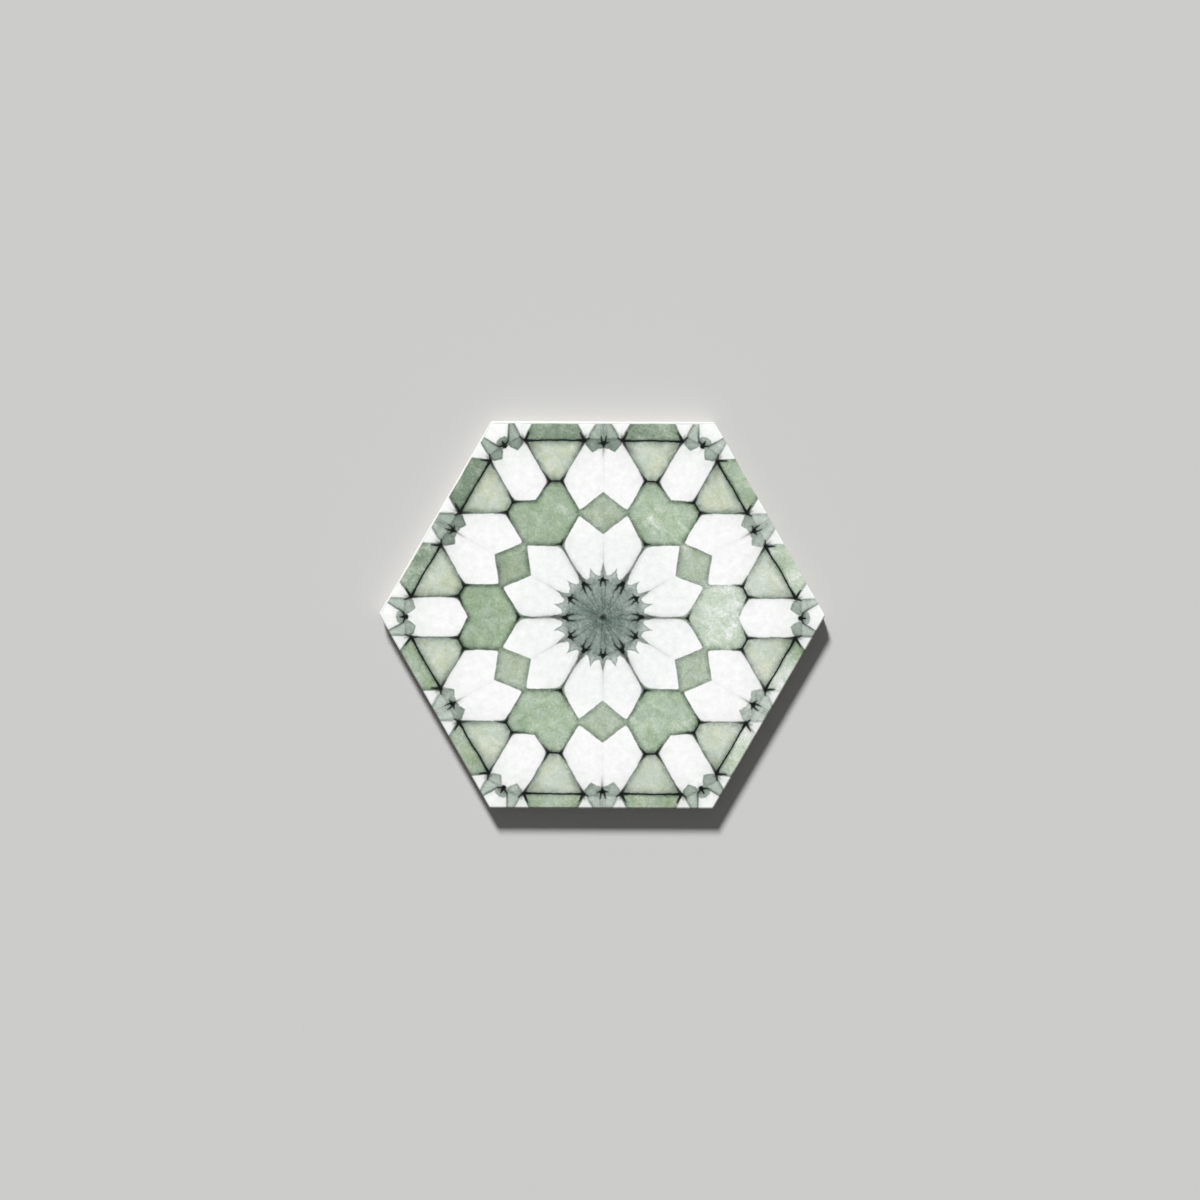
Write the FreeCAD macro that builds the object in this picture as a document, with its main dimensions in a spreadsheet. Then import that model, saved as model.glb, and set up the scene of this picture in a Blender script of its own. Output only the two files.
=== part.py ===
# Hexagon floor tile, one piece of dry-pressed glazed porcelain. Millimetres.
#
# The tile lies on its back: z = 0 is the back and the printed face is on top.
# Two corners point along +X and -X, so two sides run along X. The origin is
# the middle of the back.
#
# The press gives the shape: eased corners, a rolled arris round the face,
# sides that are upright near the face and draw in below it, and a back with a
# honeycomb of shallow keys, which the adhesive grips.
import FreeCAD, Part
import math
import os

import Sketcher

SIDES = 6
TOUCH = 1e-4  # two places closer than this are the same place

# alias, value in millimetres or degrees, meaning
DIMENSIONS = [
    ("across_flats", 200.0, "face, from one side to the side opposite"),
    ("thickness", 9.0, "back to face"),
    ("corner_easing", 1.5, "radius of the six upright corners"),
    ("arris_radius", 1.0, "rolled edge round the face"),
    ("side_land", 3.5, "upright band of each side, arris included"),
    ("side_setback", 0.5, "how far the back stands in from the face on each side"),
    ("back_easing", 0.4, "small bevel round the back"),
    ("key_depth", 0.5, "how deep the keys are sunk in the back"),
    ("key_pitch", 25.0, "middle of one key to the middle of the next"),
    ("key_rib", 3.0, "land between two keys, at the back"),
    ("key_border", 6.0, "plain land between the keys and the edge of the back"),
    ("key_draft", 30.0, "slope of the keys' walls from the upright, in degrees"),
    ("key_corner", 2.0, "radius of the keys' corners"),
]

doc = FreeCAD.newDocument("hexagon_floor_tile")
sheet = doc.addObject("Spreadsheet::Sheet", "sizes")
for row, (alias, value, meaning) in enumerate(DIMENSIONS, start=1):
    sheet.set(f"A{row}", alias)
    sheet.set(f"B{row}", str(value))
    sheet.set(f"C{row}", meaning)
    sheet.setAlias(f"B{row}", alias)
doc.recompute()


def size(alias):
    """The sheet's value under this alias."""
    return float(sheet.get(alias))


def new_body(name):
    """An empty body with its Label set."""
    body = doc.addObject("PartDesign::Body", name)
    body.Label = name
    return body


def hexagon_sketch(body, name, across, rule, corner_on_x):
    """A regular hexagon round the origin, on the body's XY plane.

    across is its size over the flats, and rule the expression that drives it.
    With corner_on_x two corners lie on the X axis, and otherwise two flats
    cross it.
    """
    sketch = body.newObject("Sketcher::SketchObject", name)
    plane = next(part for part in body.Origin.OriginFeatures if part.Role == "XY_Plane")
    sketch.AttachmentSupport = [(plane, "")]
    sketch.MapMode = "FlatFace"

    half_step = math.pi / SIDES
    reach = across / 2 / math.cos(half_step)
    turn = 0 if corner_on_x else half_step
    corners = [
        FreeCAD.Vector(reach * math.cos(angle), reach * math.sin(angle), 0)
        for angle in (turn + 2 * half_step * index for index in range(SIDES))
    ]
    lines = [
        sketch.addGeometry(Part.LineSegment(start, end))
        for start, end in zip(corners, corners[1:] + corners[:1])
    ]
    round_corners = Part.Circle(FreeCAD.Vector(), FreeCAD.Vector(0, 0, 1), reach)
    circle = sketch.addGeometry(round_corners, True)

    start, end, middle = 1, 2, 3
    origin = x_axis = -1
    sketch.addConstraint(Sketcher.Constraint("Coincident", circle, middle, origin, start))
    for line, following in zip(lines, lines[1:] + lines[:1]):
        sketch.addConstraint(Sketcher.Constraint("Coincident", line, end, following, start))
        sketch.addConstraint(Sketcher.Constraint("PointOnObject", line, end, circle))
    for line in lines[1:]:
        sketch.addConstraint(Sketcher.Constraint("Equal", lines[0], line))
    if corner_on_x:
        sketch.addConstraint(Sketcher.Constraint("PointOnObject", lines[0], start, x_axis))
    else:
        sketch.addConstraint(Sketcher.Constraint("Vertical", lines[-1]))
    flat = sketch.addConstraint(Sketcher.Constraint("Distance", origin, start, lines[0], across / 2))
    sketch.renameConstraint(flat, "half_across")
    sketch.setExpression("Constraints.half_across", f"({rule}) / 2")
    return sketch


def pad_up(body, name, sketch, length_rule):
    """Pads the sketch along +Z, by the length that the rule gives."""
    pad = body.newObject("PartDesign::Pad", name)
    pad.Profile = sketch
    pad.setExpression("Length", length_rule)
    sketch.Visibility = False
    doc.recompute()
    return pad


def edge_names(feature, wanted):
    """Names of the feature's edges for which wanted(edge) is true."""
    edges = enumerate(feature.Shape.Edges, start=1)
    return [f"Edge{number}" for number, edge in edges if wanted(edge)]


def lies_at(height):
    """A test for edges that lie in the plane at this height."""
    return lambda edge: all(abs(vertex.Z - height) < TOUCH for vertex in edge.Vertexes)


def climbs(edge):
    """True for an edge that runs from one height to another."""
    return abs(edge.Vertexes[0].Z - edge.Vertexes[-1].Z) > TOUCH


def dress(body, kind, name, wanted, **rules):
    """Adds a Fillet or Chamfer on the wanted edges of the body's last feature."""
    base = body.Tip
    feature = body.newObject(f"PartDesign::{kind}", name)
    feature.Base = (base, edge_names(base, wanted))
    if kind == "Chamfer" and "Size2" in rules:
        feature.ChamferType = "Two distances"
    for field, rule in rules.items():
        feature.setExpression(field, rule)
    doc.recompute()
    return feature


def draft_walls(body, name, rule):
    """Leans the walls of the body's last feature in, from their foot at z = 0."""
    base = body.Tip
    faces = [(f"Face{number}", face.BoundBox) for number, face in enumerate(base.Shape.Faces, start=1)]
    walls = [face for face, box in faces if box.ZLength > TOUCH]
    foot = next(face for face, box in faces if abs(box.ZMax) < TOUCH)
    feature = body.newObject("PartDesign::Draft", name)
    feature.Base = (base, walls)
    feature.NeutralPlane = (base, [foot])
    feature.setExpression("Angle", rule)
    doc.recompute()
    return feature


def build_blank():
    """The tile as pressed, with a plain back."""
    body = new_body("tile_blank")
    outline = hexagon_sketch(body, "outline", size("across_flats"), "sizes.across_flats", True)
    pad_up(body, "clay", outline, "sizes.thickness")
    dress(body, "Fillet", "corners", climbs, Radius="sizes.corner_easing")
    dress(
        body, "Chamfer", "setback", lies_at(0),
        Size="sizes.thickness - sizes.side_land", Size2="sizes.side_setback",
    )
    dress(body, "Fillet", "arris", lies_at(size("thickness")), Radius="sizes.arris_radius")
    dress(body, "Chamfer", "back_bevel", lies_at(0), Size="sizes.back_easing")
    return body


def build_key():
    """One key: a shallow six-sided punch with sloping walls and round corners."""
    body = new_body("key_punch")
    mouth = hexagon_sketch(
        body, "mouth", size("key_pitch") - size("key_rib"), "sizes.key_pitch - sizes.key_rib", False
    )
    pad_up(body, "sink", mouth, "sizes.key_depth")
    dress(body, "Fillet", "key_corners", climbs, Radius="sizes.key_corner")
    draft_walls(body, "key_walls", "sizes.key_draft")
    return body


def build_field():
    """The hexagon inside the plain border, which trims the outer keys."""
    body = new_body("key_field")
    rule = "sizes.across_flats - 2 * sizes.side_setback - 2 * sizes.key_border"
    across = size("across_flats") - 2 * size("side_setback") - 2 * size("key_border")
    edge = hexagon_sketch(body, "field_edge", across, rule, True)
    pad_up(body, "field_sink", edge, "sizes.key_depth")
    draft_walls(body, "field_walls", "sizes.key_draft")
    return body, across


def key_middles(field_across):
    """Middles of the keys: a honeycomb, as far as the middles lie in the field."""
    pitch = size("key_pitch")
    row_step = pitch * math.cos(math.pi / SIDES)
    rings = math.ceil(field_across / row_step)
    middles = []
    for row in range(-rings, rings + 1):
        for column in range(-rings, rings + 1):
            middle = FreeCAD.Vector((column + row / 2) * pitch, row * row_step, 0)
            across = [
                abs(middle.x * math.cos(angle) + middle.y * math.sin(angle))
                for angle in (math.pi / SIDES * turn for turn in (1, 3, 5))
            ]
            if max(across) < field_across / 2:
                middles.append(middle)
    return middles


def spread(key, middles):
    """The key repeated at the middles, each one a solid of its own."""
    copies = []
    for middle in middles:
        copy = key.Shape.copy()
        copy.translate(middle)
        copies.append(copy)
    keys = doc.addObject("Part::Feature", "keys")
    keys.Shape = Part.makeCompound(copies)
    return keys


def build_tile():
    """The tile with its keys sunk in the back."""
    blank = build_blank()
    field, field_across = build_field()
    keys = spread(build_key(), key_middles(field_across))

    trimmed = doc.addObject("Part::Common", "trimmed_keys")
    trimmed.Base = field
    trimmed.Tool = keys

    tile = doc.addObject("Part::Cut", "hexagon_tile")
    tile.Label = "hexagon_tile"
    tile.Base = blank
    tile.Tool = trimmed
    doc.recompute()
    return tile


def check_document():
    """Stops where a feature failed."""
    for item in doc.Objects:
        if "Invalid" in item.State or "Error" in item.State:
            raise RuntimeError(f"{item.Label} failed: {item.State}")


def write_piece(piece):
    """Writes the piece's shape to parts/LABEL.step once it is a sound solid."""
    shape = piece.Shape
    if shape.isNull() or not shape.isValid() or len(shape.Solids) != 1:
        raise RuntimeError(f"{piece.Label} isn't one valid solid")
    os.makedirs("parts", exist_ok=True)
    shape.exportStep(f"parts/{piece.Label}.step")
    box = shape.BoundBox
    print(f"{piece.Label}: {box.XLength:.2f} x {box.YLength:.2f} x {box.ZLength:.2f} mm")
    print(f"volume {shape.Volume / 1000:.1f} cm3, {len(shape.Faces)} faces")


hexagon_tile = build_tile()
check_document()
write_piece(hexagon_tile)
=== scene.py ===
# Hexagon floor tile: the finish of the part, with floor, light and camera.
# The scene is in metres, in the part's own frame. The sizes below are in millimetres.
import math

import bmesh
import bpy
from mathutils import Matrix, Vector


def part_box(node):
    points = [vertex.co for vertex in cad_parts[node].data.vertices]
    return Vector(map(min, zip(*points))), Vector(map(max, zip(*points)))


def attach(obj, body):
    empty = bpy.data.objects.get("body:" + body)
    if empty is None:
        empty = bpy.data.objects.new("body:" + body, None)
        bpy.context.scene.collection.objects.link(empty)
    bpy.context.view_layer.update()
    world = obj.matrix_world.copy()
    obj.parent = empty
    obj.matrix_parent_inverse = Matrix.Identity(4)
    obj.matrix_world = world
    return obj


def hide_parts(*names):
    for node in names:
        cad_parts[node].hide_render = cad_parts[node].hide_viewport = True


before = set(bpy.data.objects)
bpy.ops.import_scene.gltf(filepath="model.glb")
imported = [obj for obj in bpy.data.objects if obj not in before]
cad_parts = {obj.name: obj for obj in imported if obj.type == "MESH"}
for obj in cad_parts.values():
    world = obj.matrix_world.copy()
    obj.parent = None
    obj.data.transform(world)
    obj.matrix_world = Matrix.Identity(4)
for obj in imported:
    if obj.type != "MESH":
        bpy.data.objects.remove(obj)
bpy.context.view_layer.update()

MM = 0.001
NODE = "hexagon_tile"
SIDES = 6
STEP = math.tau / SIDES
FACINGS = [(side + 0.5) * STEP for side in range(SIDES)]

# The tile's own sizes, from the frame and from the pressed form
low, high = (Vector(corner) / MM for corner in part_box(NODE))
HALF_FLATS = (high.y - low.y) / 2
THICKNESS = high.z - low.z
CORNER_EASING = 1.5
ARRIS = 1.0
SIDE_LAND = 3.5
SETBACK = 0.5
BACK_BEVEL = 0.4
KEY_DEPTH = 0.5
KEY_PITCH = 25.0
KEY_RIB = 3.0
KEY_BORDER = 6.0
KEY_SLOPE = math.tan(math.radians(30))
KEY_CORNER = 2.0

# Down the side from the arris to the back: how far in from the full outline, and the height
KNEE = THICKNESS - SIDE_LAND
KNEE_ROUNDING = 0.15
SIDE_PROFILE = [
    (0, (THICKNESS - ARRIS + KNEE) / 2),
    (0, KNEE + KNEE_ROUNDING),
    (SETBACK * 0.05, KNEE - KNEE_ROUNDING),
    (SETBACK * 0.5, KNEE * 0.55),
    (SETBACK, BACK_BEVEL),
    (SETBACK + BACK_BEVEL * 0.3, BACK_BEVEL * 0.3),
    (SETBACK + BACK_BEVEL, 0),
]

# Into a key from its rolled lip to its rounded foot: how far in from its mouth, and the height
KEY_WALL = KEY_DEPTH * KEY_SLOPE
KEY_PROFILE = [
    (-0.16, 0.0),
    (-0.05, 0.03),
    (0.04, 0.11),
    (KEY_WALL - 0.05, KEY_DEPTH - 0.12),
    (KEY_WALL + 0.04, KEY_DEPTH - 0.03),
    (KEY_WALL + 0.18, KEY_DEPTH),
]

# How finely the mesh follows the form, and from what angle on an edge stays sharp
FACE_STEPS = 14
ARRIS_STEPS = 8
CORNER_STEPS = 6
SIDE_STEPS = 28
KEY_CORNER_STEPS = 3
SHARP_EDGE = math.radians(32)
# The most of a short side of a key that one rounded corner may take
ROUNDING_SHARE = 0.45
# A distance that counts as none
TOUCH = 0.01

# The photograph: where the tile lies in its 1200 px frame, and how it is turned
PHOTO_PX = 1200
TILE_MIDDLE_PX = (602.1, 615.0)
ACROSS_FLATS_PX = 386.9
TILE_TURN_DEG = -0.22
LENS_MM = 70
SENSOR_MM = 36

# The light: how far the shadow runs along X and Y for each millimetre of height, how wide
# its source looks, and which share of the light comes from all around
SHADOW_RUN = (0.46, -1.52)
SUN_SPREAD_DEG = 10
FILL = 0.14
FLOOR_TONE = (0.60, 0.60, 0.59)
FLOOR_HALF_M = 3.0
BACKDROP_TONE = (0.62, 0.62, 0.61)


def paint(red, green, blue):
    """A colour as seen on a screen, from 0 to 255, as linear values."""
    def linear(level):
        level /= 255
        return level / 12.92 if level <= 0.04045 else ((level + 0.055) / 1.055) ** 2.4
    return (linear(red), linear(green), linear(blue))


def toward(angle):
    """A step of 1 in the plane, in this direction."""
    return Vector((math.cos(angle), math.sin(angle)))


def add_object(name, data):
    """Puts an object that shows this data into the scene."""
    thing = bpy.data.objects.new(name, data)
    bpy.context.scene.collection.objects.link(thing)
    return thing


# The tile's mesh

def tile_ring(inset, height):
    """The tile's outline moved in by inset, anticlockwise, at one height."""
    radius = CORNER_EASING - inset
    reach = (HALF_FLATS - inset - radius) / math.cos(STEP / 2)
    points = []
    for side in range(SIDES):
        corner = toward(side * STEP) * reach
        following = toward((side + 1) * STEP) * reach
        for step in range(CORNER_STEPS):
            angle = side * STEP + STEP * (step / CORNER_STEPS - 0.5)
            points.append(corner + toward(angle) * radius)
        lift = toward(FACINGS[side]) * radius
        for step in range(SIDE_STEPS):
            points.append(corner.lerp(following, step / SIDE_STEPS) + lift)
    return [Vector((point.x, point.y, height)) for point in points]


def body_rings():
    """Rings from the middle of the face outwards, over the arris and down to the back."""
    rings = []
    rim = tile_ring(ARRIS, THICKNESS)
    for step in range(1, FACE_STEPS + 1):
        share = step / FACE_STEPS
        rings.append([Vector((point.x * share, point.y * share, point.z)) for point in rim])
    for step in range(1, ARRIS_STEPS + 1):
        angle = math.radians(90) * step / ARRIS_STEPS
        inset = ARRIS * (1 - math.sin(angle))
        rings.append(tile_ring(inset, THICKNESS - ARRIS * (1 - math.cos(angle))))
    return rings + [tile_ring(inset, height) for inset, height in SIDE_PROFILE]


def clip(polygon, normal, limit):
    """The part of a convex polygon on the near side of a line."""
    kept = []
    for point, following in zip(polygon, polygon[1:] + polygon[:1]):
        here, there = point.dot(normal) - limit, following.dot(normal) - limit
        if here <= 0:
            kept.append(point)
        if here * there < 0:
            kept.append(point.lerp(following, here / (here - there)))
    return kept


def key_outlines():
    """The mouth of each key in the back, trimmed to the field inside the border."""
    field = HALF_FLATS - SETBACK - KEY_BORDER
    row_step = KEY_PITCH * math.cos(STEP / 2)
    reach = (KEY_PITCH - KEY_RIB) / 2 / math.cos(STEP / 2)
    normals = [toward(facing) for facing in FACINGS]
    rows = math.ceil(field / row_step)
    outlines = []
    for row in range(-rows, rows + 1):
        for column in range(-2 * rows, 2 * rows + 1):
            middle = Vector(((column + row / 2) * KEY_PITCH, row * row_step))
            if max(middle.dot(normal) for normal in normals) >= field:
                continue
            outline = [middle + normal * reach for normal in normals]
            for normal in normals:
                outline = clip(outline, normal, field)
            outlines.append(outline)
    return outlines


def inward_step(before, after):
    """From a corner between two runs of an outline to the corner of one that lies 1 further in."""
    return (after - before).normalized() / math.cos(before.angle(after) / 2)


def key_ring(outline, inset, height):
    """The key's outline moved in by inset, with its corners rounded, at one height."""
    runs = [(end - start).normalized() for start, end in zip(outline, outline[1:] + outline[:1])]
    corners = [
        corner + inward_step(before, after) * inset
        for corner, before, after in zip(outline, runs[-1:] + runs[:-1], runs)
    ]
    lengths = [(end - start).length for start, end in zip(corners, corners[1:] + corners[:1])]
    points = []
    for index, corner in enumerate(corners):
        before, after = runs[index - 1], runs[index]
        shortest = min(lengths[index - 1], lengths[index])
        fitting = ROUNDING_SHARE * shortest / math.tan(before.angle(after) / 2)
        radius = min(KEY_CORNER - inset, fitting)
        middle = corner + inward_step(before, after) * radius
        start = Vector((before.y, -before.x))
        finish = Vector((after.y, -after.x))
        for step in range(KEY_CORNER_STEPS + 1):
            spoke = start.lerp(finish, step / KEY_CORNER_STEPS).normalized()
            point = middle + spoke * radius
            points.append(Vector((point.x, point.y, height)))
    return points


def bridge(mesh, outer, inner):
    """Quads between two closed loops of as many vertices."""
    count = len(outer)
    for index in range(count):
        following = (index + 1) % count
        mesh.faces.new((outer[index], outer[following], inner[following], inner[index]))


def loop_edges(mesh, loop):
    """The edges along a closed loop of vertices."""
    return [
        mesh.edges.get((start, end)) or mesh.edges.new((start, end))
        for start, end in zip(loop, loop[1:] + loop[:1])
    ]


def build_mesh():
    """The whole tile as one closed mesh, with rolled edges on its face and keys."""
    mesh = bmesh.new()
    loops = [[mesh.verts.new(point) for point in points] for points in body_rings()]
    middle = mesh.verts.new((0, 0, THICKNESS))
    first = loops[0]
    for start, end in zip(first, first[1:] + first[:1]):
        mesh.faces.new((middle, start, end))
    for inner, outer in zip(loops, loops[1:]):
        bridge(mesh, outer, inner)
    land_edges = loop_edges(mesh, loops[-1])

    for outline in key_outlines():
        loops = [
            [mesh.verts.new(point) for point in key_ring(outline, inset, height)]
            for inset, height in KEY_PROFILE
        ]
        land_edges += loop_edges(mesh, loops[0])
        for outer, inner in zip(loops, loops[1:]):
            bridge(mesh, inner, outer)
        mesh.faces.new(list(reversed(loops[-1])))
    bmesh.ops.triangle_fill(
        mesh, edges=land_edges, use_beauty=True, use_dissolve=False, normal=(0, 0, -1)
    )
    bmesh.ops.recalc_face_normals(mesh, faces=mesh.faces)
    return mesh


def unwrap(mesh):
    """A flat map that gives the printed face most of the square.

    The face lies across the top, the back is small below it, and the six sides
    stand as strips on the right.
    """
    layer = mesh.loops.layers.uv.new("OFBake")
    face_width, face_middle = 0.85, Vector((0.43, 0.625))
    back_height, back_middle = 0.235, Vector((0.145, 0.122))
    strip_low, strip_step, strips_across = Vector((0.872, 0.01)), Vector((0.043, 0.49)), 3
    face_scale = face_width / (2 * HALF_FLATS / math.cos(STEP / 2))
    back_scale = back_height / (2 * HALF_FLATS)
    half_side = HALF_FLATS * math.tan(STEP / 2)
    least_up, least_down = 0.6, -0.3
    for face in mesh.faces:
        middle = face.calc_center_median()
        on_face = face.normal.z > least_up
        on_back = face.normal.z < least_down and middle.z < KEY_DEPTH + TOUCH
        side = int(math.atan2(middle.y, middle.x) % math.tau / STEP) % SIDES
        across, up = side % strips_across, side // strips_across
        strip = strip_low + Vector((across * strip_step.x, up * strip_step.y))
        out_x, out_y = math.cos(FACINGS[side]), math.sin(FACINGS[side])
        for loop in face.loops:
            point = loop.vert.co
            if on_face:
                place = face_middle + Vector((point.x, point.y)) * face_scale
            elif on_back:
                place = back_middle + Vector((-point.x, point.y)) * back_scale
            else:
                along = point.y * out_x - point.x * out_y
                rise = point.z + (HALF_FLATS - point.x * out_x - point.y * out_y)
                place = strip + Vector((rise, along + half_side)) * face_scale
            loop[layer].uv = place


def build_tile(print_material, body_material):
    """The tile, with its face and arris printed and its sides and back bare."""
    mesh = build_mesh()
    unwrap(mesh)
    printed, bare = 0, 1
    for face in mesh.faces:
        face.smooth = True
        lowest = min(vertex.co.z for vertex in face.verts)
        face.material_index = printed if lowest > THICKNESS - ARRIS - TOUCH else bare
    for edge in mesh.edges:
        if len(edge.link_faces) == 2 and edge.calc_face_angle() > SHARP_EDGE:
            edge.smooth = False
    bmesh.ops.scale(mesh, vec=(MM, MM, MM), verts=mesh.verts)
    data = bpy.data.meshes.new("glazed_tile")
    mesh.to_mesh(data)
    mesh.free()
    data.materials.append(print_material)
    data.materials.append(body_material)
    return add_object("glazed_tile", data)


# Building blocks for the materials

class Graph:
    """Adds nodes to one node tree. A value is a number, a tuple or another node's output."""

    def __init__(self, tree):
        self.tree = tree

    def node(self, kind, values, output=0, **settings):
        """A node with these input values and settings; gives one of its outputs."""
        node = self.tree.nodes.new(kind)
        for field, setting in settings.items():
            setattr(node, field, setting)
        for key, value in values.items():
            socket = node.inputs[key]
            if isinstance(value, bpy.types.NodeSocket):
                self.tree.links.new(value, socket)
            else:
                socket.default_value = value
        return node.outputs[output]

    def group(self, tree, values):
        return self.node("ShaderNodeGroup", values, node_tree=tree)

    def math(self, operation, *values):
        return self.node("ShaderNodeMath", dict(enumerate(values)), operation=operation)

    def vector(self, operation, *values):
        output = "Value" if operation in ("DOT_PRODUCT", "LENGTH", "DISTANCE") else "Vector"
        return self.node("ShaderNodeVectorMath", dict(enumerate(values)), output, operation=operation)

    def scale(self, vector, factor):
        values = {0: vector, "Scale": factor}
        return self.node("ShaderNodeVectorMath", values, operation="SCALE")

    def part(self, vector, axis):
        """One of the three numbers of a vector: X, Y or Z."""
        return self.node("ShaderNodeSeparateXYZ", {0: vector}, axis)

    def ramp(self, value, start, end, low_end=0.0, high_end=1.0):
        """Smooth step: low_end at start and before it, high_end at end and after it."""
        values = {"Value": value, "From Min": start, "From Max": end, "To Min": low_end, "To Max": high_end}
        return self.node("ShaderNodeMapRange", values, interpolation_type="SMOOTHSTEP")

    def mix(self, factor, under, over):
        """From one colour, held as a vector, to another."""
        under_key, over_key, vector_output = 4, 5, 1
        values = {0: factor, under_key: under, over_key: over}
        return self.node("ShaderNodeMix", values, vector_output, data_type="VECTOR")

    def noise(self, point, size_mm, detail=2.0, roughness=0.5, distortion=0.0, output="Fac"):
        """Noise whose features are about size_mm across, on points in millimetres."""
        values = {
            "Vector": point, "Scale": 1 / size_mm, "Detail": detail,
            "Roughness": roughness, "Distortion": distortion,
        }
        return self.node("ShaderNodeTexNoise", values, output)

    def shake(self, point, size_mm, detail):
        """Noise as a small step to any side."""
        steps = self.noise(point, size_mm, detail, output="Color")
        return self.vector("SUBTRACT", steps, (0.5, 0.5, 0.5))

    def vary(self, base, noise, strength):
        """The base made more and less by noise, and as it is in the mean."""
        return self.math("MULTIPLY_ADD", self.math("SUBTRACT", noise, 0.5), strength, base)

    def patch(self, point, middle, reach, change=1.0, core=0.4):
        """The change in a round place: full in its core, a share of its reach, and none past it."""
        away = self.vector("DISTANCE", point, middle)
        return self.ramp(away, reach, reach * core, 0.0, change)


def new_group(name, inputs, output):
    """An empty node group. inputs and output give socket names and their types."""
    tree = bpy.data.node_groups.new(name, "ShaderNodeTree")
    for label, kind in inputs.items():
        tree.interface.new_socket(label, in_out="INPUT", socket_type=f"NodeSocket{kind}")
    tree.interface.new_socket(output[0], in_out="OUTPUT", socket_type=f"NodeSocket{output[1]}")
    source = tree.nodes.new("NodeGroupInput")
    return tree, Graph(tree), source.outputs


def close_group(tree, result):
    """Sets what the group gives."""
    sink = tree.nodes.new("NodeGroupOutput")
    tree.links.new(result, sink.inputs[0])
    return tree


# How far past its edge a stroke's ink still stains the cloth, in softnesses, and how strongly
BLEED_REACH = 4.0
BLEED = 0.28


def stroke_group():
    """One brush stroke of ink along a straight run, laid over the ink before it."""
    labels = (
        "Before", "X", "Y", "Start X", "Start Y", "Run X", "Run Y", "Along X", "Along Y", "Shift",
        "Width", "Taper", "Ink", "Fade", "Soft",
    )
    tree, graph, given = new_group("ink_stroke", {label: "Float" for label in labels}, ("Ink", "Float"))
    along = graph.math("MULTIPLY_ADD", given["Y"], given["Along Y"], given["Shift"])
    along = graph.math("MULTIPLY_ADD", given["X"], given["Along X"], along)
    share = graph.math("MINIMUM", graph.math("MAXIMUM", along, 0.0), 1.0)
    foot_x = graph.math("MULTIPLY_ADD", given["Run X"], share, given["Start X"])
    gap_x = graph.math("SUBTRACT", given["X"], foot_x)
    foot_y = graph.math("MULTIPLY_ADD", given["Run Y"], share, given["Start Y"])
    gap_y = graph.math("SUBTRACT", given["Y"], foot_y)
    square = graph.math("MULTIPLY_ADD", gap_x, gap_x, graph.math("MULTIPLY", gap_y, gap_y))
    gap = graph.math("SQRT", square)
    width = graph.math("MULTIPLY_ADD", given["Taper"], share, given["Width"])
    beyond = graph.math("DIVIDE", graph.math("SUBTRACT", gap, width), given["Soft"])
    cover = graph.ramp(beyond, 1.0, -1.0)
    bleed = graph.ramp(beyond, BLEED_REACH, -1.0, 0.0, BLEED)
    ink = graph.math("MULTIPLY_ADD", given["Fade"], share, given["Ink"])
    stroke = graph.math("MULTIPLY", graph.math("MAXIMUM", cover, bleed), ink)
    return close_group(tree, graph.math("MAXIMUM", given["Before"], stroke))


def wash_group():
    """A wash of colour inside an outline, pooled darker along its rim."""
    inputs = {
        "Under": "Vector", "Outside": "Float", "Core": "Vector", "Rim": "Vector",
        "Pool": "Float", "Density": "Float",
    }
    tree, graph, given = new_group("wash", inputs, ("Colour", "Vector"))
    depth = graph.math("DIVIDE", given["Outside"], given["Pool"])
    pooled = graph.math("EXPONENT", graph.math("MULTIPLY", graph.math("ABSOLUTE", depth), depth))
    tone = graph.mix(graph.math("MINIMUM", pooled, 1.0), given["Core"], given["Rim"])
    strength = graph.node("ShaderNodeCombineXYZ", {axis: given["Density"] for axis in range(3)})
    share = graph.vector("DIVIDE", tone, PAPER)
    clouded = graph.vector("MULTIPLY", graph.vector("POWER", share, strength), PAPER)
    cover = graph.ramp(given["Outside"], WASH_EDGE, -WASH_EDGE)
    return close_group(tree, graph.mix(cover, given["Under"], clouded))


# The print: a snow flower, as a cloth folded in twelve and dipped in dye gives it.
# Its outlines and strokes are in one of the twelve wedges, in millimetres from its middle:
# the first number runs out to a corner of the tile, and the wedge ends at 30 degrees.

# The print's own middle on the tile, how far it reaches to each side, and how softly it ends
PRINT_MIDDLE = (0.5, -1.25, 0.0)
PRINT_HALF_FLATS = 100.1
PRINT_EDGE = 0.12


def turned(along, aside, degrees=30):
    """A place given along a line at this angle, and aside from it towards the first edge."""
    angle = math.radians(degrees)
    return (
        along * math.cos(angle) + aside * math.sin(angle),
        along * math.sin(angle) - aside * math.cos(angle),
    )


# The dark disc, cut out by the round ends of the petals, and its spikes in one wedge
DISC_RADIUS = 26.0
PETAL_ENDS = [((26.0, 2.0), 4.8), ((23.95, 11.45), 4.7)]
SPIKES = [
    [turned(26.0, 0, 15), turned(20.0, -2.3, 15), turned(20.0, 2.3, 15)],
    [turned(28.0, 0), turned(20.5, -2.1), turned(20.5, 2.1)],
    [(27.5, 0.0), (20.0, -2.5), (20.0, 2.5)],
]

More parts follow.
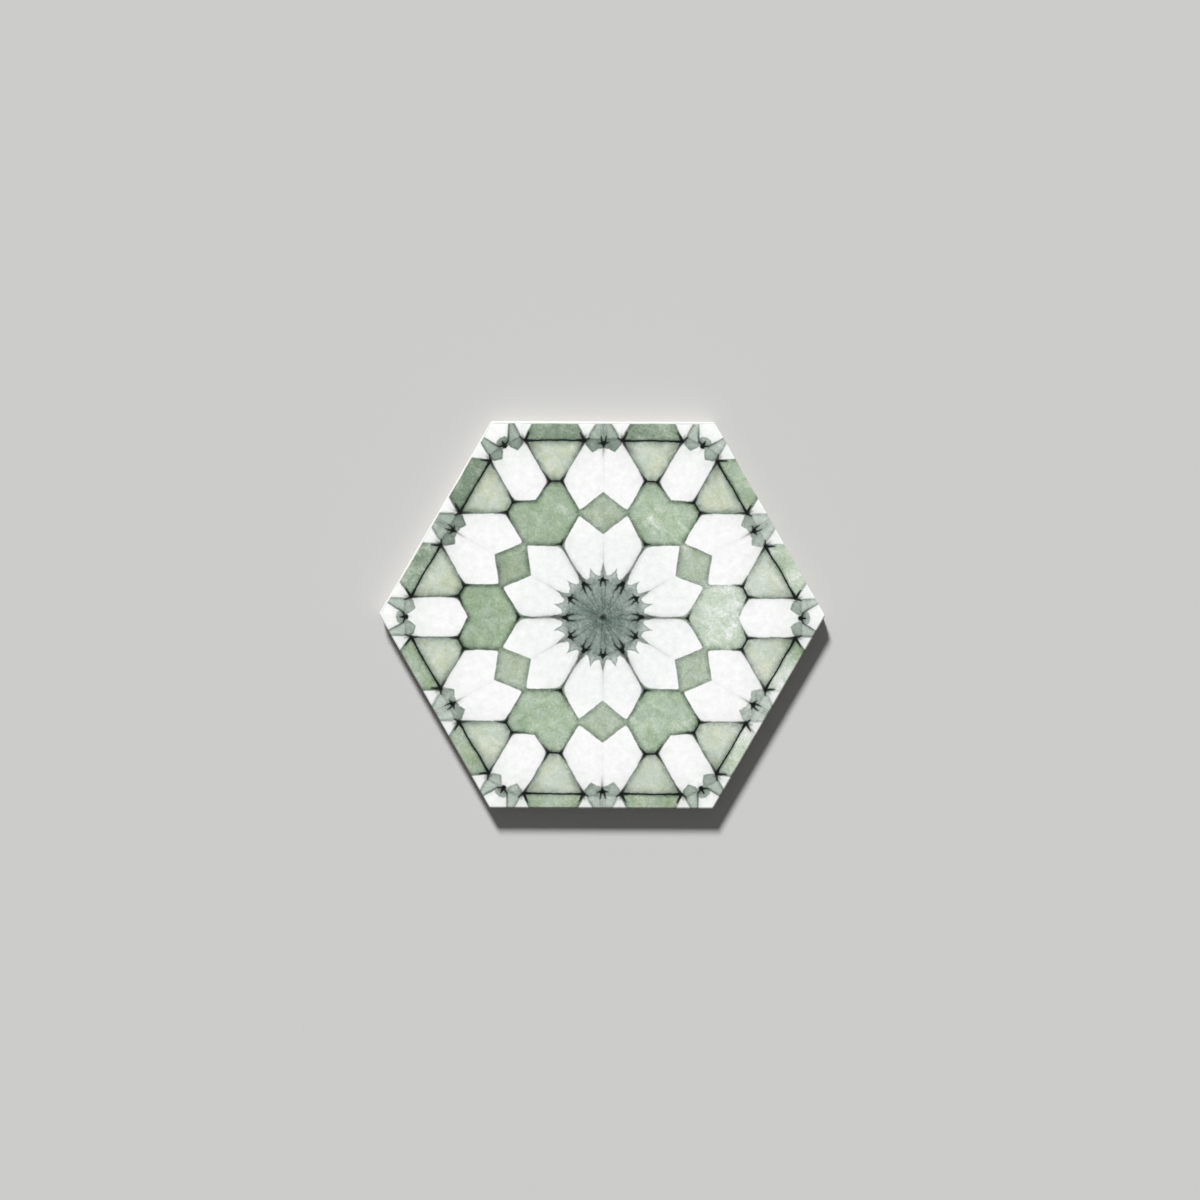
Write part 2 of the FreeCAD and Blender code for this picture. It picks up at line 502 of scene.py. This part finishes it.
# Outlines of the dyed parts; those that reach over the wedge's edges meet their mirror image there
HEART = [(40.8, -3.0), (52.8, 16.9), (72.0, 16.9), (75.1, 10.4), (68.7, -3.0)]
DIAMOND = [(28.0, 25.2), (53.8, 15.0), (58.5, 52.0)]
SEAM_FOOT = [(33.0, 0.0), (44.0, 1.0), (44.0, -1.0)]
TIE_TOP = (83.8, 37.3)
TIE_BOW = (91.6, 24.3)
TIE_FOOT = (99.2, 10.4)
TRIANGLE = [(75.2, 10.15), (72.0, 16.9), (83.3, 37.4), TIE_BOW, (99.3, 10.15)]
EDGE_BAND = [(82.7, 38.4), (99.7, 9.6), (108.0, 21.5), (100.0, 38.4)]
SIDE_LEAF = [
    turned(91.4, -1.0), turned(91.9, 8.0), turned(93.2, 8.1), turned(102, 3.3), turned(102, 0.2),
]
SIDE_LOBE = [
    turned(92.2, 2.6), turned(86.9, 2.8), turned(85.2, 5.8), turned(89.7, 9.6), turned(92.4, 8.1),
]
SIDE_HEEL = [
    turned(92.4, -1.0), turned(88.0, -1.0), turned(86.9, 2.2), turned(87.9, 4.0), turned(92.4, 4.0),
]
CORNER_LEAF = [(101.6, 2.0), (101.6, 9.8), (111.8, 10.0), (111.8, 7.3), (103.0, 2.0)]
CORNER_LOBE = [(100.3, 1.8), (96.7, 4.5), (98.3, 8.9), (102.2, 9.8), (102.8, 6.0), (102.6, 2.2)]
CORNER_HEEL = [(101.0, -1.0), (107.4, -1.0), (106.5, 2.7), (104.6, 3.6), (101.0, 2.8)]

# How much the corners of a dyed part are eased, and those of a spike
SOFT_CORNER = 0.7
SHARP_CORNER = 0.1

# How far the dye runs together in the petals' corners, at the neck between heart and diamond,
# and between a spike and the disc
CREEP_REACH = 5.0
NECK_REACH = 3.0
SPIKE_REACH = 0.8

# Within how much of its outline a wash of dye fades out
WASH_EDGE = 0.4

# The ink: start, end, half widths at both, strengths at both, and softness of its edges
STROKES = [
    # the seam between two petals, from the disc to the heart
    ((19.0, 0.0), (30.0, 0.0), 1.4, 0.7, 0.8, 0.74, 0.8),
    ((30.0, 0.0), (42.5, 0.0), 0.68, 0.6, 0.74, 0.6, 0.65),
    ((19.2, 0.0), (27.5, 0.0), 1.1, 0.3, 1.0, 0.55, 0.6),
    ((40.0, 0.0), (44.2, 0.0), 0.2, 0.7, 0.5, 1.0, 0.5),
    ((41.0, 0.0), (46.2, 4.0), 0.7, 0.7, 0.2, 0.35, 1.6),
    ((43.6, 0.0), (45.7, 3.0), 0.9, 0.2, 1.0, 0.8, 0.5),
    ((24.0, 0.0), (40.0, 0.0), 1.0, 0.8, 0.1, 0.06, 2.0),
    # the thin fold at 30 degrees, first between the disc and the diamond, then out to the side
    (turned(19.5, 0), turned(27.5, 0), 1.0, 0.3, 0.6, 0.45, 0.8),
    (turned(27.5, 0), turned(42.0, 0), 0.3, 0.15, 0.42, 0.14, 0.6),
    (turned(65.0, 0), turned(84.0, 0), 0.6, 0.5, 0.05, 0.12, 1.3),
    (turned(80.5, 0), turned(88.5, 0), 0.1, 0.8, 0.2, 0.8, 0.8),
    # the short bar between heart and triangle, what runs out from its ends, and its shade
    ((72.0, 16.3), (74.9, 10.9), 0.55, 0.55, 1.0, 1.0, 0.4),
    ((71.8, 16.3), (67.0, 16.9), 1.0, 0.25, 1.0, 0.6, 0.5),
    ((72.1, 16.3), (74.6, 21.8), 1.0, 0.3, 1.0, 0.7, 0.5),
    ((75.0, 10.8), (81.2, 10.4), 1.0, 0.3, 1.0, 0.7, 0.5),
    ((74.8, 10.9), (72.4, 5.9), 1.0, 0.25, 1.0, 0.6, 0.5),
    ((71.6, 16.4), (74.6, 10.7), 1.2, 1.2, 0.5, 0.5, 1.6),
    # shade that pools in the triangle's corners and along the tie
    (turned(90.0, 11.6), turned(82.5, 15.6), 2.2, 0.8, 0.5, 0.28, 3.2),
    ((98.5, 11.0), (91.5, 14.2), 2.2, 1.2, 0.5, 0.32, 3.2),
    ((73.5, 13.6), (77.0, 14.4), 2.0, 1.2, 0.4, 0.2, 3.0),
    ((83.4, 33.0), (96.0, 11.6), 1.0, 1.0, 0.13, 0.13, 2.6),
    # the triangle's side and foot
    ((73.0, 18.4), (82.6, 35.9), 0.3, 0.45, 0.34, 0.62, 0.6),
    ((76.0, 10.4), (97.5, 10.4), 0.35, 0.45, 0.36, 0.62, 0.6),
    # the tie along the side, with hooks and shade at both ends
    (TIE_TOP, TIE_BOW, 0.62, 0.5, 1.0, 1.0, 0.42),
    (TIE_BOW, TIE_FOOT, 0.5, 0.62, 1.0, 1.0, 0.42),
    (TIE_TOP, turned(91.3, 14.5), 1.1, 0.6, 1.0, 1.0, 0.5),
    (turned(91.5, 10.0), turned(95.4, 12.2), 1.05, 0.45, 1.0, 0.95, 0.5),
    (turned(91.4, 9.9), turned(92.6, 7.2), 1.15, 0.45, 1.0, 0.9, 0.5),
    (turned(91.2, 9.9), turned(85.2, 13.1), 1.15, 0.3, 1.0, 0.6, 0.5),
    (turned(92.4, 8.9), turned(99.5, 4.9), 0.3, 0.2, 0.6, 0.35, 0.6),
    (turned(91.8, 9.6), turned(94.2, 9.2), 1.5, 0.7, 0.88, 0.6, 1.3),
    (TIE_FOOT, (96.9, 14.6), 1.1, 0.6, 1.0, 1.0, 0.5),
    ((99.4, 10.5), (102.0, 14.4), 1.05, 0.45, 1.0, 0.95, 0.5),
    ((99.3, 10.3), (102.5, 9.1), 1.15, 0.45, 1.0, 0.9, 0.5),
    ((99.3, 10.4), (92.5, 10.5), 1.15, 0.3, 1.0, 0.6, 0.5),
    ((101.4, 9.9), (110.0, 9.9), 0.4, 0.25, 0.6, 0.38, 0.6),
    ((99.8, 10.1), (102.4, 10.7), 1.5, 0.7, 0.88, 0.6, 1.3),
    # the knot of ink in the flower at the middle of a side
    (turned(93.6, 1.3), turned(90.2, 0.9), 0.45, 0.7, 0.9, 1.0, 0.5),
    (turned(90.2, 0.3), turned(88.0, 0), 1.15, 0.4, 1.0, 1.0, 0.5),
    (turned(89.8, 0.6), turned(90.3, 2.3), 0.8, 0.5, 1.0, 0.9, 0.5),
    (turned(93.4, 1.3), turned(101.0, 1.5), 0.4, 0.3, 0.5, 0.25, 1.0),
    # the knot of ink in the flower at a corner, with its shade
    ((102.2, 0.0), (103.6, 2.8), 0.95, 0.5, 1.0, 0.95, 0.5),
    ((102.0, 0.0), (104.9, 0.0), 1.35, 0.45, 1.0, 1.0, 0.5),
    ((103.3, 2.7), (110.5, 6.9), 0.6, 0.25, 0.8, 0.4, 0.7),
    ((103.4, 0.0), (103.6, 2.4), 1.6, 1.2, 0.62, 0.55, 1.4),
    ((101.3, 0.0), (97.5, 0.0), 0.9, 0.4, 0.35, 0.05, 1.4),
    # the blots round the disc and the streaks that run in from them
    ((18.8, 0.8), (20.6, 0.2), 0.8, 1.0, 1.0, 1.0, 0.5),
    ((18.6, 1.2), (15.0, 1.6), 0.8, 0.5, 1.0, 0.85, 0.5),
    ((15.0, 1.6), (10.0, 1.2), 0.4, 0.25, 0.7, 0.45, 0.6),
    ((18.4, 1.4), (17.4, 3.1), 0.55, 0.3, 1.0, 0.7, 0.6),
    (turned(19.4, 0.4), turned(21.2, 0), 1.15, 0.4, 1.0, 1.0, 0.5),
    (turned(19.3, 0.9), turned(16.2, 1.3), 0.75, 0.45, 1.0, 0.85, 0.5),
    (turned(16.2, 1.3), turned(10.5, 1.0), 0.4, 0.15, 0.6, 0.2, 0.6),
    (turned(19.5, 0.6), turned(19.2, 2.4), 0.7, 0.45, 1.0, 0.9, 0.5),
    ((17.4, 3.3), turned(18.6, 3.0), 0.4, 0.4, 0.4, 0.4, 1.4),
    ((12.6, 1.1), (3.0, 0.3), 0.35, 0.2, 0.45, 0.5, 0.6),
    (turned(12.2, 1.0), turned(3.0, 0.2), 0.35, 0.2, 0.4, 0.5, 0.6),
    # the dark middle of the disc
    ((0.0, 0.0), (0.8, 0.4), 1.3, 1.0, 1.0, 0.9, 1.3),
]

# Round places that took more dye or less than the rest, over the whole print: each has its
# middle, measured from the print's middle, its reach, and how much more or less
UNEVEN_PLACES = [
    ((61.0, 2.0, 0.0), 25.0, -0.62),
    ((-62.0, 3.0, 0.0), 30.0, 0.22),
    ((-30.0, 56.0, 0.0), 28.0, 0.2),
    ((-46.0, 27.0, 0.0), 14.0, 0.3),
    ((84.0, -46.0, 0.0), 34.0, -0.36),
    ((84.0, 34.0, 0.0), 34.0, -0.2),
]

# The same for the edge bands alone
PALE_EDGES = [
    ((94.0, -30.0, 0.0), 22.0, -0.4),
    ((72.0, -68.0, 0.0), 22.0, -0.3),
    ((95.0, 26.0, 0.0), 24.0, -0.35),
]

# Where bands and flowers are deeper: middle and reach; and how much more dye the flowers take
DEEP_PLACE = ((-50.0, 92.0, 0.0), 105.0)
DEEP_FLOWERS = 0.35

# Where the dye is brushed with pale streaks: middle, reach and strength; and the streaks' own
# slant and how much longer than wide they are
BRUSHED_PLACE = ((35.0, 48.0, 0.0), 16.0, 0.36)
BRUSH_SLANT = math.radians(-43)
BRUSH_STRETCH = 3.2

# Colours: the white that every wash is laid on, the white cloth as it shows from the middle
# outwards, the ink, and the glaze past the print
PAPER = paint(247, 249, 247)
INNER_WHITE = paint(244, 247, 245)
OUTER_WHITE = paint(249, 250, 249)
EDGE_WHITE = paint(248, 250, 248)
INK = paint(7, 14, 11)
PLAIN_GLAZE = paint(212, 215, 210)

# A dyed part's core where it is cool and where it is warm, its rim, and how wide the rim is
HEART_DYE = (paint(174, 191, 170), paint(170, 189, 161), paint(111, 128, 109), 1.7)
DIAMOND_DYE = (paint(177, 191, 173), paint(176, 189, 165), paint(138, 152, 136), 1.8)
TRIANGLE_DYE = (paint(201, 212, 198), paint(205, 213, 190), paint(152, 165, 151), 2.2)
BAND_DYE = (paint(172, 189, 168), paint(168, 186, 156), paint(122, 139, 120), 1.7)
DEEP_BAND = paint(140, 157, 137)

# The same for a part with one core
CREEP_DYE = (paint(162, 175, 162), paint(154, 167, 154), 1.7)
NECK_DYE = (paint(136, 152, 133), paint(122, 138, 120), 1.7)
LEAF_DYE = (paint(188, 200, 189), paint(146, 160, 149), 1.0)
SIDE_LOBE_DYE = (paint(161, 173, 163), paint(141, 154, 144), 1.0)
SIDE_HEEL_DYE = (paint(153, 166, 155), paint(147, 159, 149), 1.0)
CORNER_LOBE_DYE = (paint(171, 183, 173), paint(146, 159, 149), 1.0)
CORNER_HEEL_DYE = (paint(173, 185, 175), paint(164, 176, 166), 1.0)
FLOWER_PARTS = [
    (SIDE_LEAF, LEAF_DYE), (SIDE_HEEL, SIDE_HEEL_DYE), (SIDE_LOBE, SIDE_LOBE_DYE),
    (CORNER_HEEL, CORNER_HEEL_DYE), (CORNER_LEAF, LEAF_DYE), (CORNER_LOBE, CORNER_LOBE_DYE),
]

# The disc from the middle outwards, its rim, and how wide the rim is
DISC_MIDDLE = paint(113, 129, 121)
DISC_OUTER = paint(148, 162, 154)
DISC_FRINGE = paint(196, 203, 199)
DISC_RIM = paint(140, 153, 145)
DISC_POOL = 0.7


def edge_plane(start, end):
    """The line through two places as a vector; its product with a point is positive on the left."""
    run = (Vector(end) - Vector(start)).normalized()
    normal = Vector((-run.y, run.x))
    return (normal.x, normal.y, -normal.dot(Vector(start)))


def folded(graph, point):
    """The point brought into the first wedge, with 1 as its third number."""
    quarter = graph.vector("ABSOLUTE", point)
    mirror = (-math.sin(STEP / 2), math.cos(STEP / 2), 0.0)
    past = graph.math("MAXIMUM", graph.vector("DOT_PRODUCT", quarter, mirror), 0.0)
    back = graph.scale(mirror, graph.math("MULTIPLY", past, 2.0))
    wedge = graph.vector("ABSOLUTE", graph.vector("SUBTRACT", quarter, back))
    return graph.vector("ADD", graph.vector("MULTIPLY", wedge, (1, 1, 0)), (0, 0, 1))


def outside_of(graph, point, corners, easing=SOFT_CORNER):
    """How far the point lies outside a convex outline with these corners."""
    lines = list(zip(corners, corners[1:] + corners[:1]))
    area = sum(start[0] * end[1] - end[0] * start[1] for start, end in lines)
    if area > 0:
        lines = [(end, start) for start, end in lines]
    distance = None
    for start, end in lines:
        gap = graph.vector("DOT_PRODUCT", point, edge_plane(start, end))
        distance = gap if distance is None else graph.math("SMOOTH_MAX", distance, gap, easing)
    return distance


def disc_outside(graph, point, radius):
    """How far the point lies outside the disc and its spikes."""
    distance = graph.math("SUBTRACT", radius, DISC_RADIUS)
    for middle, reach in PETAL_ENDS:
        away = graph.vector("DISTANCE", point, (*middle, 1.0))
        distance = graph.math("MAXIMUM", distance, graph.math("SUBTRACT", reach, away))
    for spike in SPIKES:
        outside = outside_of(graph, point, spike, SHARP_CORNER)
        distance = graph.math("SMOOTH_MIN", distance, outside, SPIKE_REACH)
    return distance


def dye_density(graph, point):
    """How much dye the cloth took in most parts and in the edge bands, and how light its white is."""
    broad = graph.noise(point, 34)
    cloud = graph.noise(point, 6, detail=5, roughness=0.7, distortion=0.6)
    grain = graph.noise(point, 1.2, detail=4, roughness=0.7)
    density = graph.vary(1.02, broad, 0.6)
    density = graph.vary(density, cloud, 1.7)
    density = graph.vary(density, grain, 1.4)
    from_middle = graph.vector("SUBTRACT", point, PRINT_MIDDLE)
    for middle, reach, change in UNEVEN_PLACES:
        density = graph.math("ADD", density, graph.patch(from_middle, middle, reach, change))

    slant = {"Vector": point, "Rotation": (0, 0, BRUSH_SLANT), "Scale": (BRUSH_STRETCH, 1.0, 1.0)}
    slanted = graph.node("ShaderNodeMapping", slant, vector_type="TEXTURE")
    brush = graph.noise(slanted, 4.0, detail=4, roughness=0.6, distortion=0.6)
    brushed = graph.ramp(brush, 0.46, 0.72)
    strength = graph.ramp(graph.noise(point, 21), 0.48, 0.64, 0.0, 0.35)
    strength = graph.math("ADD", strength, graph.patch(from_middle, *BRUSHED_PLACE))
    density = graph.math("SUBTRACT", density, graph.math("MULTIPLY", brushed, strength))

    elsewhere = graph.vector("ADD", point, (300, 120, 0))
    edge_density = graph.vary(density, graph.noise(elsewhere, 24), 1.1)
    for middle, reach, change in PALE_EDGES:
        edge_density = graph.math("ADD", edge_density, graph.patch(from_middle, middle, reach, change))
    mottle = graph.noise(point, 3.6, detail=3, roughness=0.6)
    whiteness = graph.vary(graph.vary(1.0, mottle, 0.26), grain, 0.16)
    return density, edge_density, whiteness


def disc_density(graph, flower_point, radius, density):
    """The dye in the disc, streaked from the middle outwards."""
    out = graph.part(flower_point, "X")
    across = graph.part(flower_point, "Y")
    # the angle counts for much and the radius for little, so the noise is drawn out into spokes
    turn = graph.math("MULTIPLY", graph.math("ARCTAN2", across, out), 8.0)
    spoke = graph.node("ShaderNodeCombineXYZ", {0: turn, 1: graph.math("MULTIPLY", radius, 0.2)})
    streak = graph.noise(spoke, 0.9, detail=4, roughness=0.6, distortion=0.6)
    return graph.vary(density, streak, graph.ramp(radius, 14.0, 3.0, 0.6, 1.2))


def brushed_ink(graph, flat_point, flower_point):
    """How strong the ink is, by the strongest of all the strokes."""
    feather = graph.shake(flat_point, 1.0, 3)
    place = folded(graph, graph.vector("ADD", flower_point, graph.scale(feather, 0.35)))
    place_x = graph.part(place, "X")
    place_y = graph.part(place, "Y")
    stroke = stroke_group()
    ink = 0.0
    for start, end, width, end_width, strength, end_strength, soft in STROKES:
        run = Vector(end) - Vector(start)
        along = run / run.length_squared
        values = {
            "Before": ink, "X": place_x, "Y": place_y, "Start X": start[0], "Start Y": start[1],
            "Run X": run.x, "Run Y": run.y, "Along X": along.x, "Along Y": along.y,
            "Shift": -along.dot(Vector(start)), "Width": width, "Taper": end_width - width,
            "Ink": strength, "Fade": end_strength - strength, "Soft": soft,
        }
        ink = graph.group(stroke, values)
    return ink


def snow_flower(graph, flat_point):
    """The colour of the print at a point, in millimetres over the face, and its ink."""
    sway = graph.shake(flat_point, 13, 1)
    tremble = graph.shake(flat_point, 2.4, 2)
    moved = graph.vector("ADD", flat_point, graph.scale(sway, 1.2))
    # the outlines tremble three times as much in the disc as they do outside it
    ragged = graph.ramp(graph.vector("DISTANCE", flat_point, PRINT_MIDDLE), 22.0, 30.0, 1.5, 0.5)
    moved = graph.vector("ADD", moved, graph.scale(tremble, ragged))
    flower_point = graph.vector("SUBTRACT", moved, PRINT_MIDDLE)
    place = folded(graph, flower_point)
    density, edge_density, whiteness = dye_density(graph, flat_point)
    wash = wash_group()

    def lay(under, outside, core, rim, pool, dye=density):
        values = {
            "Under": under, "Outside": outside, "Core": core, "Rim": rim,
            "Pool": pool, "Density": dye,
        }
        return graph.group(wash, values)

    radius = graph.vector("LENGTH", graph.vector("MULTIPLY", place, (1, 1, 0)))
    white = graph.mix(graph.ramp(radius, 38.0, 50.0), INNER_WHITE, OUTER_WHITE)
    white = graph.mix(graph.ramp(radius, 88.0, 98.0), white, EDGE_WHITE)
    color = graph.scale(white, whiteness)

    warmth = graph.ramp(graph.noise(flat_point, 11, detail=3, roughness=0.55), 0.38, 0.62)
    heart = outside_of(graph, place, HEART)
    diamond = outside_of(graph, place, DIAMOND)
    triangle = outside_of(graph, place, TRIANGLE)
    creep = graph.math("SMOOTH_MIN", heart, triangle, CREEP_REACH)
    seam_foot = outside_of(graph, place, SEAM_FOOT, SHARP_CORNER)
    creep = graph.math("SMOOTH_MIN", creep, seam_foot, CREEP_REACH)
    color = lay(color, creep, *CREEP_DYE)
    neck = graph.math("SMOOTH_MIN", heart, diamond, NECK_REACH)
    color = lay(color, neck, *NECK_DYE)
    for outside, part_dye in [(heart, HEART_DYE), (diamond, DIAMOND_DYE), (triangle, TRIANGLE_DYE)]:
        cool, warm, rim, pool = part_dye
        color = lay(color, outside, graph.mix(warmth, cool, warm), rim, pool)

    cool, warm, rim, pool = BAND_DYE
    band_core = graph.mix(warmth, cool, warm)
    deep = graph.patch(flower_point, *DEEP_PLACE, core=0.7)
    band_core = graph.mix(deep, band_core, DEEP_BAND)
    band = outside_of(graph, place, EDGE_BAND)
    color = lay(color, band, band_core, rim, pool, edge_density)
    flower_density = graph.math("MULTIPLY_ADD", deep, DEEP_FLOWERS, density)
    for outline, part_dye in FLOWER_PARTS:
        color = lay(color, outside_of(graph, place, outline), *part_dye, flower_density)

    disc = disc_outside(graph, place, radius)
    streaked = disc_density(graph, flower_point, radius, density)
    disc_core = graph.mix(graph.ramp(radius, 2.0, 18.0), DISC_MIDDLE, DISC_OUTER)
    disc_core = graph.mix(graph.ramp(radius, 19.0, 23.0), disc_core, DISC_FRINGE)
    color = lay(color, disc, disc_core, DISC_RIM, DISC_POOL, streaked)

    ink = brushed_ink(graph, flat_point, flower_point)
    color = graph.mix(ink, color, INK)
    border = (math.cos(STEP / 2), math.sin(STEP / 2), -PRINT_HALF_FLATS)
    past_border = graph.vector("DOT_PRODUCT", place, border)
    printed = graph.ramp(past_border, PRINT_EDGE, -PRINT_EDGE)
    return graph.mix(printed, PLAIN_GLAZE, color), ink


def new_material(name):
    """A material with an empty node tree."""
    material = bpy.data.materials.new(name)
    material.use_nodes = True
    material.node_tree.nodes.clear()
    return material, Graph(material.node_tree)


def finish_material(graph, values):
    """Ends the tree in a Principled shader with these inputs."""
    shader = graph.node("ShaderNodeBsdfPrincipled", values)
    sink = graph.tree.nodes.new("ShaderNodeOutputMaterial")
    graph.tree.links.new(shader, sink.inputs["Surface"])


def object_point(graph):
    """The point on the tile, in millimetres."""
    place = graph.node("ShaderNodeTexCoord", {}, "Object")
    return graph.scale(place, 1 / MM)


def printed_glaze():
    """The printed face under its satin glaze."""
    material, graph = new_material("printed_glaze")
    point = object_point(graph)
    flat_point = graph.vector("MULTIPLY", point, (1, 1, 0))
    color, ink = snow_flower(graph, flat_point)
    ripple = graph.noise(point, 5.0)
    pores = graph.noise(point, 0.5)
    height = graph.math("MULTIPLY_ADD", pores, 0.12, ripple)
    bump = graph.node("ShaderNodeBump", {"Strength": 0.25, "Distance": 0.00025, "Height": height})
    rough = graph.math("MULTIPLY_ADD", ripple, 0.16, 0.5)
    rough = graph.math("MULTIPLY_ADD", ink, 0.06, rough)
    values = {"Base Color": color, "Roughness": rough, "Specular IOR Level": 0.12, "Normal": bump}
    finish_material(graph, values)
    return material


# Colours of the fired body, of the specks in it, of the chalky wear on its back and of the
# glaze on the sides; how far below the arris that glaze may end, and how much of this varies
BODY_TONE = paint(190, 184, 172)
SPECK_TONE = paint(118, 104, 88)
CHALK_TONE = paint(214, 210, 202)
GLAZE_TONE = paint(208, 210, 205)
GLAZE_DROP = 1.5
GLAZE_WANDER = 1.3


def porcelain_body():
    """The bare fired body of the sides and the back, with the glaze's edge along the top."""
    material, graph = new_material("porcelain_body")
    point = object_point(graph)
    height = graph.part(point, "Z")
    clay = graph.noise(point, 9, detail=4, roughness=0.6)
    grit = graph.noise(point, 0.45, detail=3, roughness=0.7)
    tone = graph.vary(graph.vary(1.0, clay, 0.3), grit, 0.25)
    color = graph.scale(BODY_TONE, tone)
    specks = graph.node("ShaderNodeTexVoronoi", {"Vector": point, "Scale": 0.55}, "Distance")
    color = graph.mix(graph.ramp(specks, 0.13, 0.08), color, SPECK_TONE)
    chalk = graph.math("MULTIPLY", graph.ramp(height, 0.2, 0.02), graph.ramp(clay, 0.4, 0.6))
    color = graph.mix(chalk, color, CHALK_TONE)
    wander = graph.noise(point, 7, detail=3, roughness=0.6)
    glaze_end = graph.math("MULTIPLY_ADD", wander, GLAZE_WANDER, THICKNESS - ARRIS - GLAZE_DROP)
    glaze = graph.ramp(graph.math("SUBTRACT", height, glaze_end), -0.1, 0.15)
    color = graph.mix(glaze, color, GLAZE_TONE)
    rough = graph.math("MULTIPLY_ADD", glaze, -0.24, 0.82)
    relief = graph.math("MULTIPLY_ADD", glaze, 0.6, grit)
    bump = graph.node("ShaderNodeBump", {"Strength": 0.5, "Distance": 0.00012, "Height": relief})
    values = {"Base Color": color, "Roughness": rough, "Specular IOR Level": 0.15, "Normal": bump}
    finish_material(graph, values)
    return material


# Floor, light and camera

def build_floor():
    """A plain pale floor under the tile."""
    half = FLOOR_HALF_M
    data = bpy.data.meshes.new("floor")
    corners = [(-half, -half, 0), (half, -half, 0), (half, half, 0), (-half, half, 0)]
    data.from_pydata(corners, [], [(0, 1, 2, 3)])
    material, graph = new_material("floor_finish")
    finish_material(graph, {"Base Color": (*FLOOR_TONE, 1.0), "Roughness": 0.9, "Specular IOR Level": 0.1})
    data.materials.append(material)
    floor = add_object("floor", data)


def build_light():
    """One soft key light and an even fill, which together light a level face plainly."""
    fall = Vector((*SHADOW_RUN, -1.0)).normalized()
    sun = bpy.data.lights.new("key", "SUN")
    sun.angle = math.radians(SUN_SPREAD_DEG)
    sun.energy = math.pi * (1 - FILL) / -fall.z
    key = add_object("key", sun)
    key.rotation_euler = fall.to_track_quat("-Z", "Y").to_euler()

    world = bpy.data.worlds.new("studio")
    world.use_nodes = True
    world.node_tree.nodes.clear()
    graph = Graph(world.node_tree)
    seen = graph.tree.nodes.new("ShaderNodeLightPath").outputs
    shown = graph.math("MAXIMUM", seen["Is Camera Ray"], seen["Is Glossy Ray"])
    shown = graph.math("MAXIMUM", shown, seen["Is Transmission Ray"])
    fill = graph.node("ShaderNodeBackground", {"Color": (1, 1, 1, 1), "Strength": FILL})
    backdrop = graph.node("ShaderNodeBackground", {"Color": (*BACKDROP_TONE, 1.0), "Strength": 1.0})
    both = graph.node("ShaderNodeMixShader", {0: shown, 1: fill, 2: backdrop})
    sink = graph.tree.nodes.new("ShaderNodeOutputWorld")
    graph.tree.links.new(both, sink.inputs["Surface"])
    bpy.context.scene.world = world


def build_camera():
    """Straight above the tile, which lies in the frame where the photograph has it."""
    metres_per_px = 2 * HALF_FLATS * MM / ACROSS_FLATS_PX
    data = bpy.data.cameras.new("camera")
    data.sensor_width = SENSOR_MM
    data.lens = LENS_MM
    camera = add_object("camera", data)
    aside, down = (pixel - PHOTO_PX / 2 for pixel in TILE_MIDDLE_PX)
    turn = math.radians(-TILE_TURN_DEG)
    offset = Vector((-aside, down)) * metres_per_px
    offset.rotate(Matrix.Rotation(turn, 2))
    above = PHOTO_PX * metres_per_px * LENS_MM / SENSOR_MM
    camera.location = (offset.x, offset.y, THICKNESS * MM + above)
    camera.rotation_euler = (0, 0, turn)
    bpy.context.scene.camera = camera


tile = build_tile(printed_glaze(), porcelain_body())
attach(tile, "root")
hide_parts(NODE)
build_floor()
build_light()
build_camera()
bpy.context.scene.view_settings.view_transform = "Standard"
